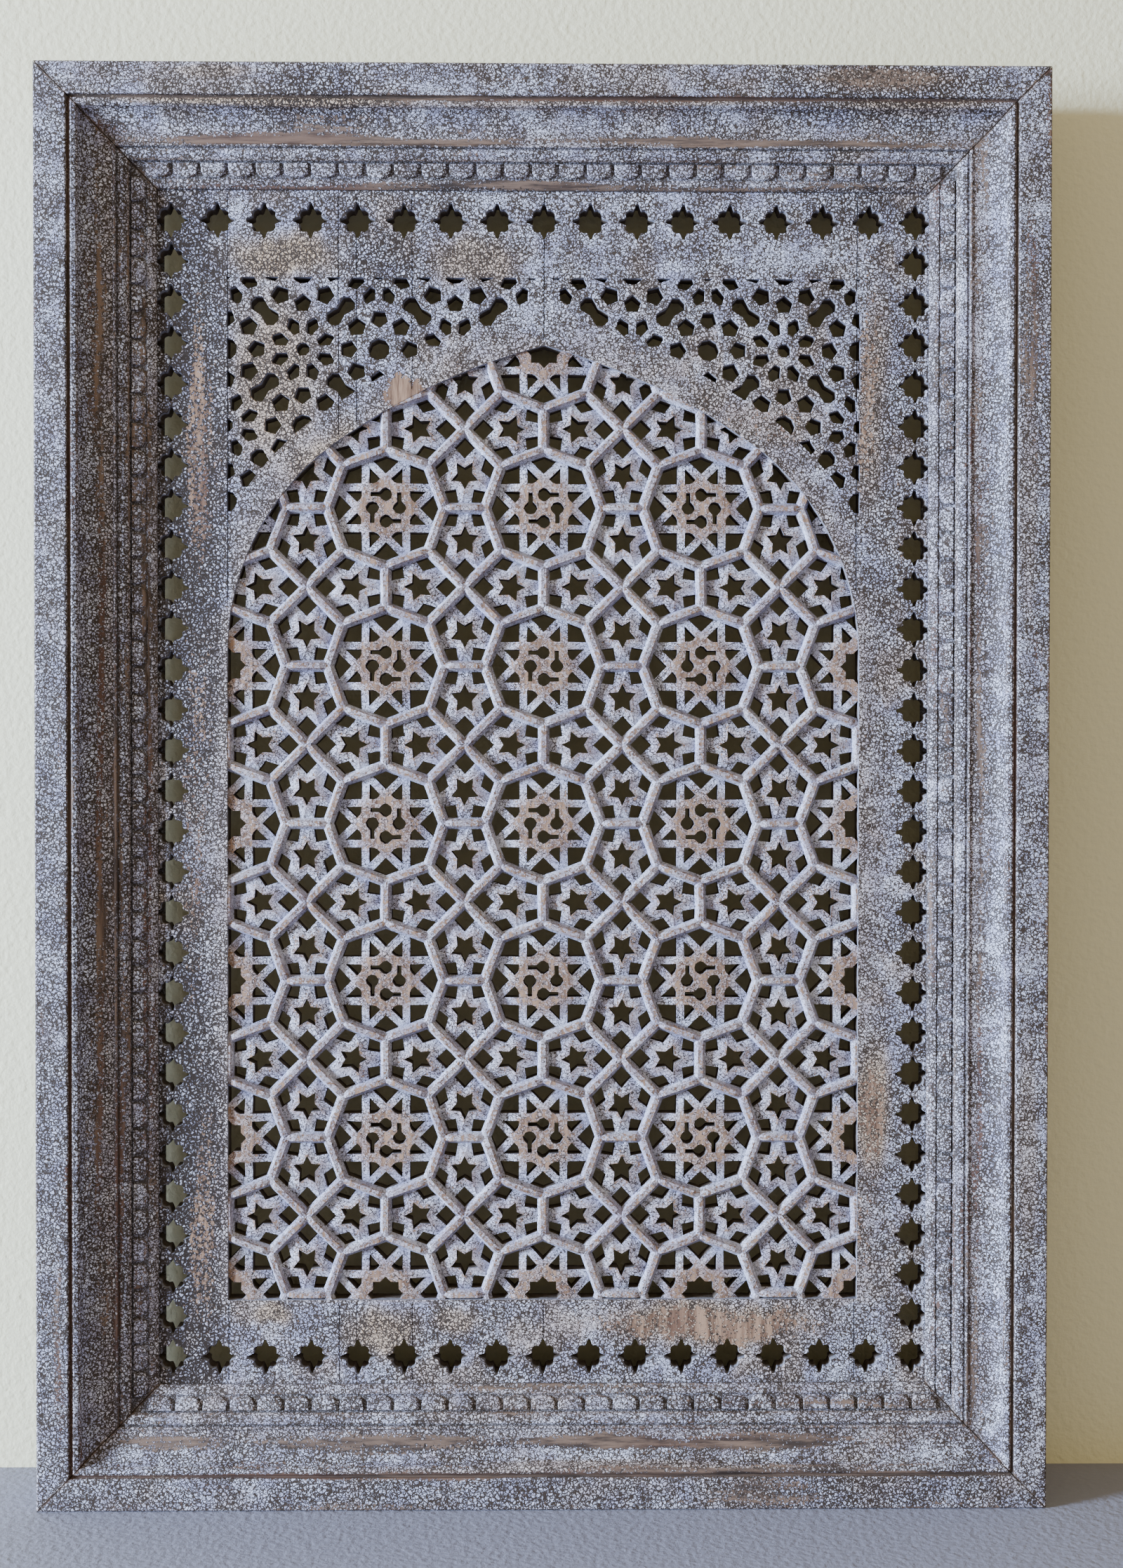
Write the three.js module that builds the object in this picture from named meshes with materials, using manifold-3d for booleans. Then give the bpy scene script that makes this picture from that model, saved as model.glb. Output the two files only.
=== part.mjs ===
// Carved wooden jali panel: a pierced board held in four mitred moulded rails.
// Millimetres, +Z up, front towards -Y, origin on the back of the top rail.
import * as THREE from 'three';
import { mergeVertices } from 'three/addons/utils/BufferGeometryUtils.js';
import Module from 'manifold-3d';

// Lattice and arched opening
const latticePitch = 145.5;
const latticeColumns = 4;
const latticeRows = 7;
const latticeRise = 4;
const octagonReach = 53.7;
const octagonCorner = 55.5;
const ribWidth = 10.7;
const ribHeight = 7;
const starRadius = 10.8;
const strapRing = 40;
const strapHole = 8.6;
const springHeight = 596;
const haunchRadius = 240;
const haunchAngle = 55;
const crownRadius = 600;
const archBand = 35;

// Plain bridge of the carved field above the arch, and the bands round the field
const fieldBridge = 25.2;
const sideBand = 63;
const bottomBand = 77;
const topBand = 79;

// Spandrel rosettes
const rosettePitch = 139.8;
const rosetteRise = 4.2;
const rosetteEye = 7.5;
const rosetteRing = 53.7;
const ringHole = 9;
const boneLength = 24;
const boneWidth = 12;
const crossHole = 10;

// Border quatrefoils
const quatrefoilRadius = 13.4;
const rowCount = 17;
const columnCount = 29;
const columnInset = 12;
const topRowInset = 27;
const bottomRowInset = 24;

// Board and moulded frame
const boardThickness = 20;
const backSpace = 12;
const tongueDepth = 10;
const clearance = 0.3;
const frameDepth = 70;
const flatWidth = 30.5;
const flatStep = 2.5;
const beadWidth = 8.5;
const coveWidth = 28;
const coveDepth = 17.5;
const coveHollow = 0.15;
const ridgeWidth = 3;
const ridgeHeight = 1.5;
const filletWidth = 13;
const filletDrop = 7;
const leafWidth = 14;
const leafDrop = 3.5;
const slopeWidth = 6.5;
const lipEdge = 3;

// The arch's centres, and the height of the field that it stands in
const fieldWidth = latticeColumns * latticePitch;
const haunch = THREE.MathUtils.degToRad(haunchAngle);
const haunchX = fieldWidth / 2 - haunchRadius;
const crownX = haunchX - (crownRadius - haunchRadius) * Math.cos(haunch);
const crownDrop = (crownRadius - haunchRadius) * Math.sin(haunch);
const crownRise = Math.sqrt((crownRadius + archBand) ** 2 - crownX ** 2) - crownDrop;
const fieldHeight = springHeight + crownRise + fieldBridge;

// Sizes that follow from the ones above
const visibleWidth = fieldWidth + 2 * sideBand;
const visibleHeight = bottomBand + fieldHeight + topBand;
const railWidth = flatWidth + beadWidth + coveWidth + ridgeWidth + filletWidth + leafWidth + slopeWidth;
const frameWidth = visibleWidth + 2 * railWidth;
const frameHeight = visibleHeight + 2 * railWidth;
const boardFace = backSpace + boardThickness;
const webFace = boardFace - ribHeight;
const mountInset = (railWidth - tongueDepth - clearance) / 2;
const frameTop = mountInset;
const fieldBottom = frameTop - frameHeight + railWidth + bottomBand;
const fieldTop = fieldBottom + fieldHeight;
const springY = fieldBottom + springHeight;

const wasm = await Module();
wasm.setup();

function closedSolid(geometry) {
  const bare = geometry.clone();
  bare.deleteAttribute('normal');
  bare.deleteAttribute('uv');
  const merged = mergeVertices(bare, 1e-4);
  const vertProperties = new Float32Array(merged.getAttribute('position').array);
  const triVerts = new Uint32Array(merged.getIndex().array);
  return new wasm.Manifold(new wasm.Mesh({ numProp: 3, vertProperties, triVerts }));
}

function geometryOf(solid) {
  const mesh = solid.getMesh();
  const geometry = new THREE.BufferGeometry();
  geometry.setAttribute('position', new THREE.BufferAttribute(mesh.vertProperties, 3));
  geometry.setIndex(new THREE.BufferAttribute(mesh.triVerts, 1));
  const flat = geometry.toNonIndexed();
  flat.computeVertexNormals();
  return flat;
}

function prism(shapes, back, front) {
  const settings = { depth: front - back, bevelEnabled: false, curveSegments: 5 };
  const geometry = new THREE.ExtrudeGeometry(shapes, settings);
  geometry.translate(0, 0, back);
  return closedSolid(geometry);
}

function outline(points) {
  return new THREE.Shape(points);
}

function around(x, y, radius, angle) {
  return new THREE.Vector2(x + radius * Math.cos(angle), y + radius * Math.sin(angle));
}

function regular(x, y, radius, corners, turn = 0) {
  const points = [];
  for (let i = 0; i < corners; i += 1) {
    points.push(around(x, y, radius, turn + (i * 2 * Math.PI) / corners));
  }
  return outline(points);
}

function lozenge(x, y, length, width, angle) {
  const across = angle + Math.PI / 2;
  return outline([
    around(x, y, length / 2, angle),
    around(x, y, width / 2, across),
    around(x, y, length / 2, angle + Math.PI),
    around(x, y, width / 2, across + Math.PI),
  ]);
}

// Two haunch arcs and two crown arcs that meet in a slight point
function archOver(path, offset, start) {
  const crownY = springY - crownDrop;
  const apex = Math.acos(-crownX / (crownRadius + offset));
  path.absarc(haunchX, springY, haunchRadius + offset, start, haunch);
  path.absarc(crownX, crownY, crownRadius + offset, haunch, apex);
  path.absarc(-crownX, crownY, crownRadius + offset, Math.PI - apex, Math.PI - haunch);
  path.absarc(-haunchX, springY, haunchRadius + offset, Math.PI - haunch, Math.PI - start);
}

function openingOutline() {
  const shape = new THREE.Shape();
  shape.moveTo(-fieldWidth / 2, fieldBottom);
  shape.lineTo(fieldWidth / 2, fieldBottom);
  archOver(shape, 0, 0);
  return shape;
}

const bandStart = Math.acos(haunchRadius / (haunchRadius + archBand));

function spandrelOutline() {
  const under = new THREE.Path();
  archOver(under, archBand, bandStart);
  const lower = under.getPoints(5);
  const left = new THREE.Vector2(-fieldWidth / 2, fieldTop);
  const right = new THREE.Vector2(fieldWidth / 2, fieldTop);
  return outline([...lower, left, right]);
}

// Distance of a point outside the arch, negative inside it
function archDistance(x, y) {
  const side = Math.abs(x);
  if (y < springY) {
    return side - fieldWidth / 2;
  }
  if (Math.atan2(y - springY, side - haunchX) < haunch) {
    return Math.hypot(side - haunchX, y - springY) - haunchRadius;
  }
  return Math.hypot(side - crownX, y - springY + crownDrop) - crownRadius;
}

function inOpening(x, y, margin) {
  return archDistance(x, y) < -margin && y > fieldBottom + margin;
}

function inSpandrel(x, y, margin) {
  const inField = y < fieldTop - margin && Math.abs(x) < fieldWidth / 2 - margin;
  return inField && archDistance(x, y) > archBand + margin;
}

// Insets a convex outline by the same distance on every side
function inset(points, distance) {
  const result = [];
  const count = points.length;
  for (let i = 0; i < count; i += 1) {
    const before = points[(i + count - 1) % count];
    const here = points[i];
    const after = points[(i + 1) % count];
    const into = here.clone().sub(before).normalize();
    const away = after.clone().sub(here).normalize();
    const normalIn = new THREE.Vector2(-into.y, into.x);
    const normalOut = new THREE.Vector2(-away.y, away.x);
    const middle = normalIn.clone().add(normalOut).normalize();
    result.push(here.clone().addScaledVector(middle, distance / middle.dot(normalIn)));
  }
  return result;
}

function octagonPoints(x, y) {
  const points = [];
  for (let i = 0; i < 8; i += 1) {
    points.push(around(x, y, i % 2 === 0 ? octagonReach : octagonCorner, (i * Math.PI) / 4));
  }
  return inset(points, ribWidth / 2);
}

// A pentagon lies beside each short rib between two octagons
function pentagonPoints(x, y, turn) {
  const diagonal = octagonCorner * Math.SQRT1_2;
  const far = latticePitch - diagonal;
  const half = latticePitch / 2;
  const local = [
    [octagonReach, 0],
    [latticePitch - octagonReach, 0],
    [far, diagonal],
    [half, half],
    [diagonal, diagonal],
  ];
  const centre = new THREE.Vector2(0, 0);
  const points = local.map(([u, v]) => new THREE.Vector2(u, v).rotateAround(centre, turn));
  return inset(points, ribWidth / 2).map((point) => point.add(new THREE.Vector2(x, y)));
}

function pentagonHole(points) {
  const middle = new THREE.Vector2();
  points.forEach((point) => middle.addScaledVector(point, 1 / points.length));
  const firstEdge = points[0].clone().add(points[1]).multiplyScalar(0.5);
  const toEdge = firstEdge.sub(middle).angle();
  const shape = regular(middle.x, middle.y, starRadius, 5, toEdge);
  return { x: middle.x, y: middle.y, shape };
}

// Holes left between the straps of a medallion's star and the corners of its octagon
function medallionHoles(x, y) {
  const holes = [];
  for (let i = 0; i < 8; i += 1) {
    const angle = (i * Math.PI) / 4;
    const place = around(x, y, strapRing, angle);
    holes.push({ x: place.x, y: place.y, shape: regular(place.x, place.y, strapHole, 3, angle + Math.PI) });
  }
  return holes;
}

function latticeShapes() {
  const pockets = [];
  const holes = [];
  const quarter = Math.PI / 2;
  const edge = latticeColumns / 2;
  for (let column = -edge; column <= edge; column += 1) {
    for (let row = 0; row < latticeRows; row += 1) {
      const x = column * latticePitch;
      const y = fieldBottom + latticeRise + row * latticePitch;
      pockets.push(outline(octagonPoints(x, y)));
      holes.push(...medallionHoles(x, y));
      for (let side = 0; side < 4; side += 1) {
        const pentagon = pentagonPoints(x, y, side * quarter);
        pockets.push(outline(pentagon));
        holes.push(pentagonHole(pentagon));
      }
    }
  }
  const inside = holes.filter((hole) => inOpening(hole.x, hole.y, strapHole));
  return { pockets, holes: inside.map((hole) => hole.shape) };
}

// Spandrel holes: eightfold rosettes on a square grid turned by 45 degrees.
// Each rosette adds the ring holes and bones that it shares with the two above it.
function rosetteHoles(x, y) {
  const eighth = Math.PI / 4;
  const holes = [{ x, y, shape: regular(x, y, rosetteEye, 4) }];
  for (let i = 0; i < 4; i += 1) {
    const angle = eighth * (i + 0.5);
    const ring = around(x, y, rosetteRing, angle);
    holes.push({ x: ring.x, y: ring.y, shape: regular(ring.x, ring.y, ringHole, 3, angle) });
  }
  for (const angle of [eighth, 3 * eighth]) {
    const middle = around(x, y, (rosettePitch * Math.SQRT1_2) / 2, angle);
    const shape = lozenge(middle.x, middle.y, boneLength, boneWidth, angle);
    holes.push({ x: middle.x, y: middle.y, shape });
  }
  return holes;
}

function mirrored(shape) {
  return outline(shape.getPoints().map((point) => new THREE.Vector2(-point.x, point.y)));
}

function spandrelHoles() {
  const half = rosettePitch / 2;
  const top = fieldTop + rosetteRise;
  const holes = [];
  for (let i = 0; i * half < fieldWidth / 2 + half; i += 1) {
    for (let j = 0; j < 5; j += 1) {
      const x = i * half - fieldWidth / 2;
      const y = top - j * half;
      if ((i + j) % 2 === 0) {
        holes.push(...rosetteHoles(x, y));
      } else {
        holes.push({ x, y, shape: regular(x, y, crossHole, 4) });
      }
    }
  }
  const left = holes.filter((hole) => hole.x < -crossHole && inSpandrel(hole.x, hole.y, ringHole / 2));
  return left.flatMap((hole) => [hole.shape, mirrored(hole.shape)]);
}

function quatrefoilShapes() {
  const shapes = [];
  const left = -visibleWidth / 2 + columnInset;
  const bottom = fieldBottom - bottomBand + bottomRowInset;
  const top = fieldTop + topBand - topRowInset;
  const rowPitch = (-2 * left) / (rowCount - 1);
  const columnPitch = (top - bottom) / (columnCount - 1);
  for (let i = 0; i < rowCount; i += 1) {
    shapes.push(regular(left + i * rowPitch, top, quatrefoilRadius, 4));
    shapes.push(regular(left + i * rowPitch, bottom, quatrefoilRadius, 4));
  }
  for (let i = 1; i < columnCount - 1; i += 1) {
    shapes.push(regular(left, bottom + i * columnPitch, quatrefoilRadius, 4));
    shapes.push(regular(-left, bottom + i * columnPitch, quatrefoilRadius, 4));
  }
  return shapes;
}

function boardGeometry() {
  const width = visibleWidth + 2 * tongueDepth;
  const bottom = fieldBottom - bottomBand - tongueDepth;
  const top = bottom + visibleHeight + 2 * tongueDepth;
  const edge = outline([
    new THREE.Vector2(-width / 2, bottom),
    new THREE.Vector2(width / 2, bottom),
    new THREE.Vector2(width / 2, top),
    new THREE.Vector2(-width / 2, top),
  ]);
  const behind = backSpace - 1;
  const before = boardFace + 1;
  const opening = prism(openingOutline(), behind, before);
  const lattice = latticeShapes();
  const pockets = prism(lattice.pockets, webFace, before).intersect(opening);
  const latticeCuts = prism(lattice.holes, behind, before).intersect(opening);
  const spandrel = prism(spandrelOutline(), behind, before);
  const spandrelCuts = prism(spandrelHoles(), behind, before).intersect(spandrel);
  const quatrefoils = prism(quatrefoilShapes(), behind, before);
  const board = prism(edge, backSpace, boardFace);
  return geometryOf(
    board.subtract(pockets).subtract(latticeCuts).subtract(spandrelCuts).subtract(quatrefoils),
  );
}

// Section of a rail: x runs from the outer edge inwards, y from the back forwards
function railSection() {
  const shape = new THREE.Shape();
  let across = 0;
  let height = 0;
  const step = (alongX, alongY) => {
    across += alongX;
    height += alongY;
    shape.lineTo(across, height);
  };
  shape.moveTo(0, 0);
  step(0, frameDepth);
  step(flatWidth, 0);
  step(0, -flatStep);
  step(beadWidth, 0);
  const coveStart = across;
  across += coveWidth;
  height -= coveDepth;
  shape.quadraticCurveTo(coveStart + coveWidth * coveHollow, height, across, height);
  step(ridgeWidth / 2, ridgeHeight);
  step(ridgeWidth / 2, -ridgeHeight);
  step(filletWidth, -filletDrop);
  step(leafWidth, -leafDrop);
  const grooveFront = boardFace + clearance;
  const grooveBack = backSpace - clearance;
  const grooveEnd = railWidth - tongueDepth - clearance;
  shape.lineTo(railWidth, grooveFront + lipEdge);
  shape.lineTo(railWidth, grooveFront);
  shape.lineTo(grooveEnd, grooveFront);
  shape.lineTo(grooveEnd, grooveBack);
  shape.lineTo(railWidth, grooveBack);
  shape.lineTo(railWidth, 0);
  return shape;
}

// A rail lies along x with its outer edge on y = 0 and both ends mitred
function railGeometry(length) {
  const settings = { depth: 1, bevelEnabled: false, curveSegments: 5 };
  const geometry = new THREE.ExtrudeGeometry(railSection(), settings);
  const position = geometry.getAttribute('position');
  for (let i = 0; i < position.count; i += 1) {
    const across = position.getX(i);
    const height = position.getY(i);
    const end = 1 - 2 * position.getZ(i);
    position.setXYZ(i, end * (length / 2 - across - clearance), -across, height);
  }
  return geometry;
}

const paintedFrame = new THREE.MeshStandardMaterial({ color: '#98a3b5', roughness: 0.8, metalness: 0 });
const paintedBoard = new THREE.MeshStandardMaterial({ color: '#a2adc0', roughness: 0.8, metalness: 0 });

const panel = new THREE.Group();
panel.rotation.x = Math.PI / 2;

function addPiece(name, geometry, material, x, y, turn) {
  const mesh = new THREE.Mesh(geometry, material.clone());
  mesh.name = name;
  mesh.position.set(x, y, 0);
  mesh.rotation.z = turn;
  panel.add(mesh);
}

const middle = frameTop - frameHeight / 2;
const acrossRail = railGeometry(frameWidth);
const uprightRail = railGeometry(frameHeight);
addPiece('frame_top_rail', acrossRail, paintedFrame, 0, frameTop, 0);
addPiece('frame_bottom_rail', acrossRail, paintedFrame, 0, frameTop - frameHeight, Math.PI);
addPiece('frame_left_stile', uprightRail, paintedFrame, -frameWidth / 2, middle, Math.PI / 2);
addPiece('frame_right_stile', uprightRail, paintedFrame, frameWidth / 2, middle, -Math.PI / 2);
addPiece('jali_panel', boardGeometry(), paintedBoard, 0, 0, 0);

export default panel;
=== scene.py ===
import math

import bmesh
import bpy
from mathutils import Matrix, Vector, kdtree, noise


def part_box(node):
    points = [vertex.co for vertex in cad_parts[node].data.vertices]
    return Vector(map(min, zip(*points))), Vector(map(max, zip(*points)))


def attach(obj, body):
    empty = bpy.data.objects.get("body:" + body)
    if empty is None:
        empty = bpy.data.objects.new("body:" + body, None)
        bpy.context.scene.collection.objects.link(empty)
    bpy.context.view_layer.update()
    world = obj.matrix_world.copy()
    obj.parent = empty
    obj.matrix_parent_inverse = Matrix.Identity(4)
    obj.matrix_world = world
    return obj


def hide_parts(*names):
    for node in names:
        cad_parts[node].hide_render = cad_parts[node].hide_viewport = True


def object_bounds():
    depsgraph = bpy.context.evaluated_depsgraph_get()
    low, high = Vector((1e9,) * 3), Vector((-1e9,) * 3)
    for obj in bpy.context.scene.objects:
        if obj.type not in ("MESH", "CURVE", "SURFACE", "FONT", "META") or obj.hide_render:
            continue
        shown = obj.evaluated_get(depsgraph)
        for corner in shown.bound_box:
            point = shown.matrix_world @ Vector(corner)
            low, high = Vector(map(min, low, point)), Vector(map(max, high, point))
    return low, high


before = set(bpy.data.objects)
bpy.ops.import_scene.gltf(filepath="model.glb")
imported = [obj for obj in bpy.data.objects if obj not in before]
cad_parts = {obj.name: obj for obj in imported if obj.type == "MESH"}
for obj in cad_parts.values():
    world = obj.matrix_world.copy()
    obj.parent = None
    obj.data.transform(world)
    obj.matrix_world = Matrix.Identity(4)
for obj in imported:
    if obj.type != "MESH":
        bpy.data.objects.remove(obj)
cadLow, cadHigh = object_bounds()
mm = 0.001
print("frame loaded")

# Where the CAD pieces stand, in millimetres
boardLow, boardHigh = (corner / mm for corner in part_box("jali_panel"))
frameLow, frameHigh = cadLow / mm, cadHigh / mm
boardFace, boardBack = boardLow.y, boardHigh.y


# Mesh helpers, all in millimetres

def newPiece(name, bm):
    mesh = bpy.data.meshes.new(name)
    bm.to_mesh(mesh)
    bm.free()
    piece = bpy.data.objects.new(name, mesh)
    bpy.context.scene.collection.objects.link(piece)
    return piece


def dropPiece(piece):
    mesh = piece.data
    bpy.data.objects.remove(piece)
    bpy.data.meshes.remove(mesh)


def carve(piece, tool, operation):
    cut = piece.modifiers.new("carve", "BOOLEAN")
    cut.operation = operation
    cut.solver = "MANIFOLD"
    cut.object = tool
    graph = bpy.context.evaluated_depsgraph_get()
    carved = bpy.data.meshes.new_from_object(piece.evaluated_get(graph))
    piece.modifiers.clear()
    old = piece.data
    piece.data = carved
    bpy.data.meshes.remove(old)
    dropPiece(tool)
    return piece


def polar(centre, radius, angle):
    return Vector((centre.x + radius * math.cos(angle), centre.y + radius * math.sin(angle)))


def shapeAt(outline, place, angle):
    points = []
    for along, across in outline:
        turn = math.atan2(across, along) + angle
        points.append(polar(place, math.hypot(along, across), turn))
    return points


def sweepFace(bm, face, y, keep):
    made = bmesh.ops.extrude_face_region(bm, geom=[face], use_keep_orig=True)["geom"]
    cap = next(item for item in made if isinstance(item, bmesh.types.BMFace))
    if not keep:
        bmesh.ops.delete(bm, geom=[face], context="FACES_ONLY")
    for vert in cap.verts:
        vert.co.y = y
    return cap


def addPrism(bm, points, front, back, flare=0.0):
    # An outline in the panel's plane, swept from front to back; flare widens its mouth
    ring = bmesh.ops.create_circle(bm, cap_ends=True, segments=len(points), radius=1.0)["verts"]
    middle = sum(points, Vector((0, 0))) / len(points)
    for vert, point in zip(ring, points):
        outward = (point - middle).normalized() * flare * 1.5
        vert.co = (point.x + outward.x, front - flare / 2, point.y + outward.y)
    face = ring[0].link_faces[0]
    if flare:
        face = sweepFace(bm, face, front + flare, True)
        for vert in face.verts:
            outward = Vector((vert.co.x, vert.co.z)) - middle
            step = outward.normalized() * flare * 1.5
            vert.co.x -= step.x
            vert.co.z -= step.y
    sweepFace(bm, face, back, not flare)


def solidFrom(name, bm):
    # Moved points leave old face normals, which would turn some shells inside out
    bm.normal_update()
    bmesh.ops.recalc_face_normals(bm, faces=bm.faces)
    return newPiece(name, bm)


def deepenFaces(bm, y):
    # Turns an open carved surface into a closed block with a flat back
    made = bmesh.ops.extrude_face_region(bm, geom=bm.faces[:], use_keep_orig=True)["geom"]
    for item in made:
        if isinstance(item, bmesh.types.BMVert):
            item.co.y = y


# The jali board

jali = {
    "pitch": 145.5,
    "columns": 4,
    "rows": 7,
    "rise": 4.0,
    "octagonReach": 53.7,
    "octagonCorner": 55.5,
    "tongue": 10.0,
    "bottomBand": 77.0,
    "topBand": 79.0,
    "springHeight": 596.0,
    "haunchRadius": 240.0,
    "haunchAngle": math.radians(55),
    "crownRadius": 600.0,
}
halfField = jali["columns"] * jali["pitch"] / 2
fieldBottom = boardLow.z + jali["tongue"] + jali["bottomBand"]
fieldTop = boardHigh.z - jali["tongue"] - jali["topBand"]
haunchX = halfField - jali["haunchRadius"]
radiusStep = jali["crownRadius"] - jali["haunchRadius"]
crownX = haunchX - radiusStep * math.cos(jali["haunchAngle"])
springZ = fieldBottom + jali["springHeight"]
crownZ = springZ - radiusStep * math.sin(jali["haunchAngle"])


def archPoints(offset, start, steps):
    # Right half of the arch from its foot to its point
    apex = math.acos(-crownX / (jali["crownRadius"] + offset))
    right = []
    for i in range(steps):
        angle = start + (jali["haunchAngle"] - start) * i / steps
        right.append(polar(Vector((haunchX, springZ)), jali["haunchRadius"] + offset, angle))
    for i in range(steps + 1):
        angle = jali["haunchAngle"] + (apex - jali["haunchAngle"]) * i / steps
        right.append(polar(Vector((crownX, crownZ)), jali["crownRadius"] + offset, angle))
    left = [Vector((-point.x, point.y)) for point in reversed(right[:-1])]
    return right + left


def archDistance(place):
    side = abs(place.x)
    if place.y < springZ:
        return side - halfField
    if math.atan2(place.y - springZ, side - haunchX) < jali["haunchAngle"]:
        return math.hypot(side - haunchX, place.y - springZ) - jali["haunchRadius"]
    return math.hypot(side - crownX, place.y - crownZ) - jali["crownRadius"]


def octagonCentres():
    edge = jali["columns"] // 2
    for column in range(-edge, edge + 1):
        for row in range(jali["rows"]):
            z = fieldBottom + jali["rise"] + row * jali["pitch"]
            yield column, row, Vector((column * jali["pitch"], z))


def octagonCorners(centre):
    reach = (jali["octagonReach"], jali["octagonCorner"])
    return [polar(centre, reach[i % 2], i * math.pi / 4) for i in range(8)]


def pentagonCorners(centre, quarter):
    pitch, reach = jali["pitch"], jali["octagonReach"]
    slant = jali["octagonCorner"] * math.sqrt(0.5)
    corners = [(reach, 0), (pitch - reach, 0), (pitch - slant, slant)]
    corners += [(pitch / 2, pitch / 2), (slant, slant)]
    turn = math.radians(90 * quarter)
    placed = []
    for x, z in corners:
        placed.append(polar(centre, math.hypot(x, z), math.atan2(z, x) + turn))
    return placed


def insideOpening(place, margin):
    return archDistance(place) < -margin and place.y > fieldBottom + margin


# Raised ribs, each with a flat ridge that dips where it meets the next one

ribs = {
    "baseWidth": 10.7,
    "ridgeWidth": 4.4,
    "height": 7.0,
    "dip": 2.2,
    "dipLength": 7.0,
    "sink": 0.4,
}
webFace = boardFace + ribs["height"]


def ribNetwork():
    bm = bmesh.new()
    outlines = []
    for _, _, centre in octagonCentres():
        outlines.append(octagonCorners(centre))
        outlines += [pentagonCorners(centre, quarter) for quarter in range(4)]
    near = [points for points in outlines if any(archDistance(p) < 60 for p in points)]
    nodes = kdtree.KDTree(sum(len(points) for points in near))
    count = 0
    for points in near:
        verts = []
        for here, after in zip(points, points[1:] + points[:1]):
            nodes.insert((here.x, here.y, 0), count)
            count += 1
            share = ribs["dipLength"] / (after - here).length
            for t in (0, share, 1 - share):
                place = here.lerp(after, t)
                verts.append(bm.verts.new((place.x, boardFace + ribs["sink"], place.y)))
        bm.faces.new(verts)
    nodes.balance()
    bmesh.ops.remove_doubles(bm, verts=bm.verts, dist=0.2)
    bmesh.ops.recalc_face_normals(bm, faces=bm.faces)
    cells = bm.faces[:]
    ridge = ribs["ridgeWidth"] / 2
    slope = (ribs["baseWidth"] - ribs["ridgeWidth"]) / 2
    bmesh.ops.inset_individual(bm, faces=cells, thickness=ridge, use_even_offset=True)
    for vert in bm.verts:
        _, _, gap = nodes.find((vert.co.x, vert.co.z, 0))
        if gap < ribs["ridgeWidth"]:
            vert.co.y += ribs["dip"]
    bmesh.ops.inset_individual(bm, faces=cells, thickness=slope, use_even_offset=True)
    for cell in cells:
        for vert in cell.verts:
            vert.co.y = webFace
    bmesh.ops.delete(bm, geom=cells, context="FACES")
    deepenFaces(bm, boardBack)
    return solidFrom("ribs", bm)


# Web of a pentagon: five spokes and a ring that rises to its five-pointed star hole

pentagonWeb = {
    "starTip": 13.8,
    "starValley": 7.2,
    "ringNotch": 15.3,
    "halfSpoke": 5.2,
    "rimRise": 3.4,
    "notchRise": 1.6,
}


def addPentagonWeb(bm, points):
    centre = sum(points, Vector((0, 0))) / 5
    tips, valleys, notches, feet = [], [], [], []
    for i, here in enumerate(points):
        after = points[(i + 1) % 5]
        middle = (here + after) / 2
        along = (after - here).normalized() * pentagonWeb["halfSpoke"]
        outward = (middle - centre).normalized()
        corner = (after - centre).normalized()
        rim = webFace - pentagonWeb["rimRise"]
        notch = webFace - pentagonWeb["notchRise"]
        places = [
            (centre + outward * pentagonWeb["starTip"], rim),
            (centre + corner * pentagonWeb["starValley"], rim),
            (centre + corner * pentagonWeb["ringNotch"], notch),
            (middle - along, webFace + 0.3),
            (middle + along, webFace + 0.3),
        ]
        tip, valley, ring, footStart, footEnd = (
            bm.verts.new((place.x, y, place.y)) for place, y in places)
        tips.append(tip)
        valleys.append(valley)
        notches.append(ring)
        feet.append((footStart, footEnd))
    for i in range(5):
        after = (i + 1) % 5
        bm.faces.new((tips[i], notches[i - 1], feet[i][0], feet[i][1], notches[i]))
        bm.faces.new((tips[i], notches[i], tips[after], valleys[i]))


def pentagonWebs():
    bm = bmesh.new()
    for _, _, centre in octagonCentres():
        for quarter in range(4):
            points = pentagonCorners(centre, quarter)
            if any(archDistance(point) < -2 for point in points):
                addPentagonWeb(bm, points)
    deepenFaces(bm, boardBack)
    return solidFrom("pentagon_webs", bm)


# Web of a medallion: eight straps in a star with three points between, round a flat disc

medallionWeb = {
    "strapOffset": 18.8,
    "strapWidth": 6.9,
    "discRadius": 24.8,
    "discRise": 4.2,
    "keyholeReach": 12.4,
    "keyhole": [(-5.9, 0), (-4.8, 3.7), (-0.6, 6.4), (2.5, 5.5), (6.1, 2.1), (14.2, 2.0)],
    "starTip": 17.0,
    "starValley": 13.0,
    "domeFoot": 44.0,
    "strapBreak": 33.0,
}


def strap(angle):
    reach = medallionWeb["strapOffset"] / math.cos(math.radians(67.5))
    halfLength = math.sqrt(reach ** 2 - medallionWeb["strapOffset"] ** 2)
    low = medallionWeb["strapOffset"] - medallionWeb["strapWidth"] / 2
    high = medallionWeb["strapOffset"] + medallionWeb["strapWidth"] / 2
    corners = [(low, -halfLength), (high, -halfLength), (high, halfLength), (low, halfLength)]
    bm = bmesh.new()
    turned = [polar(Vector((0, 0)), math.hypot(x, z), math.atan2(z, x) + angle) for x, z in corners]
    addPrism(bm, turned, webFace, boardBack)
    return solidFrom("strap", bm)


def keyhole(bm, angle, hand):
    # A bell-shaped head with a slot that runs along the disc's rim
    head = polar(Vector((0, 0)), medallionWeb["keyholeReach"], angle)
    upper = medallionWeb["keyhole"]
    lower = [(along, -across) for along, across in reversed(upper[1:])]
    outline = shapeAt(upper + lower, head, angle + hand * math.pi / 2)
    addPrism(bm, outline, webFace - 9, boardBack + 1)


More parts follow.
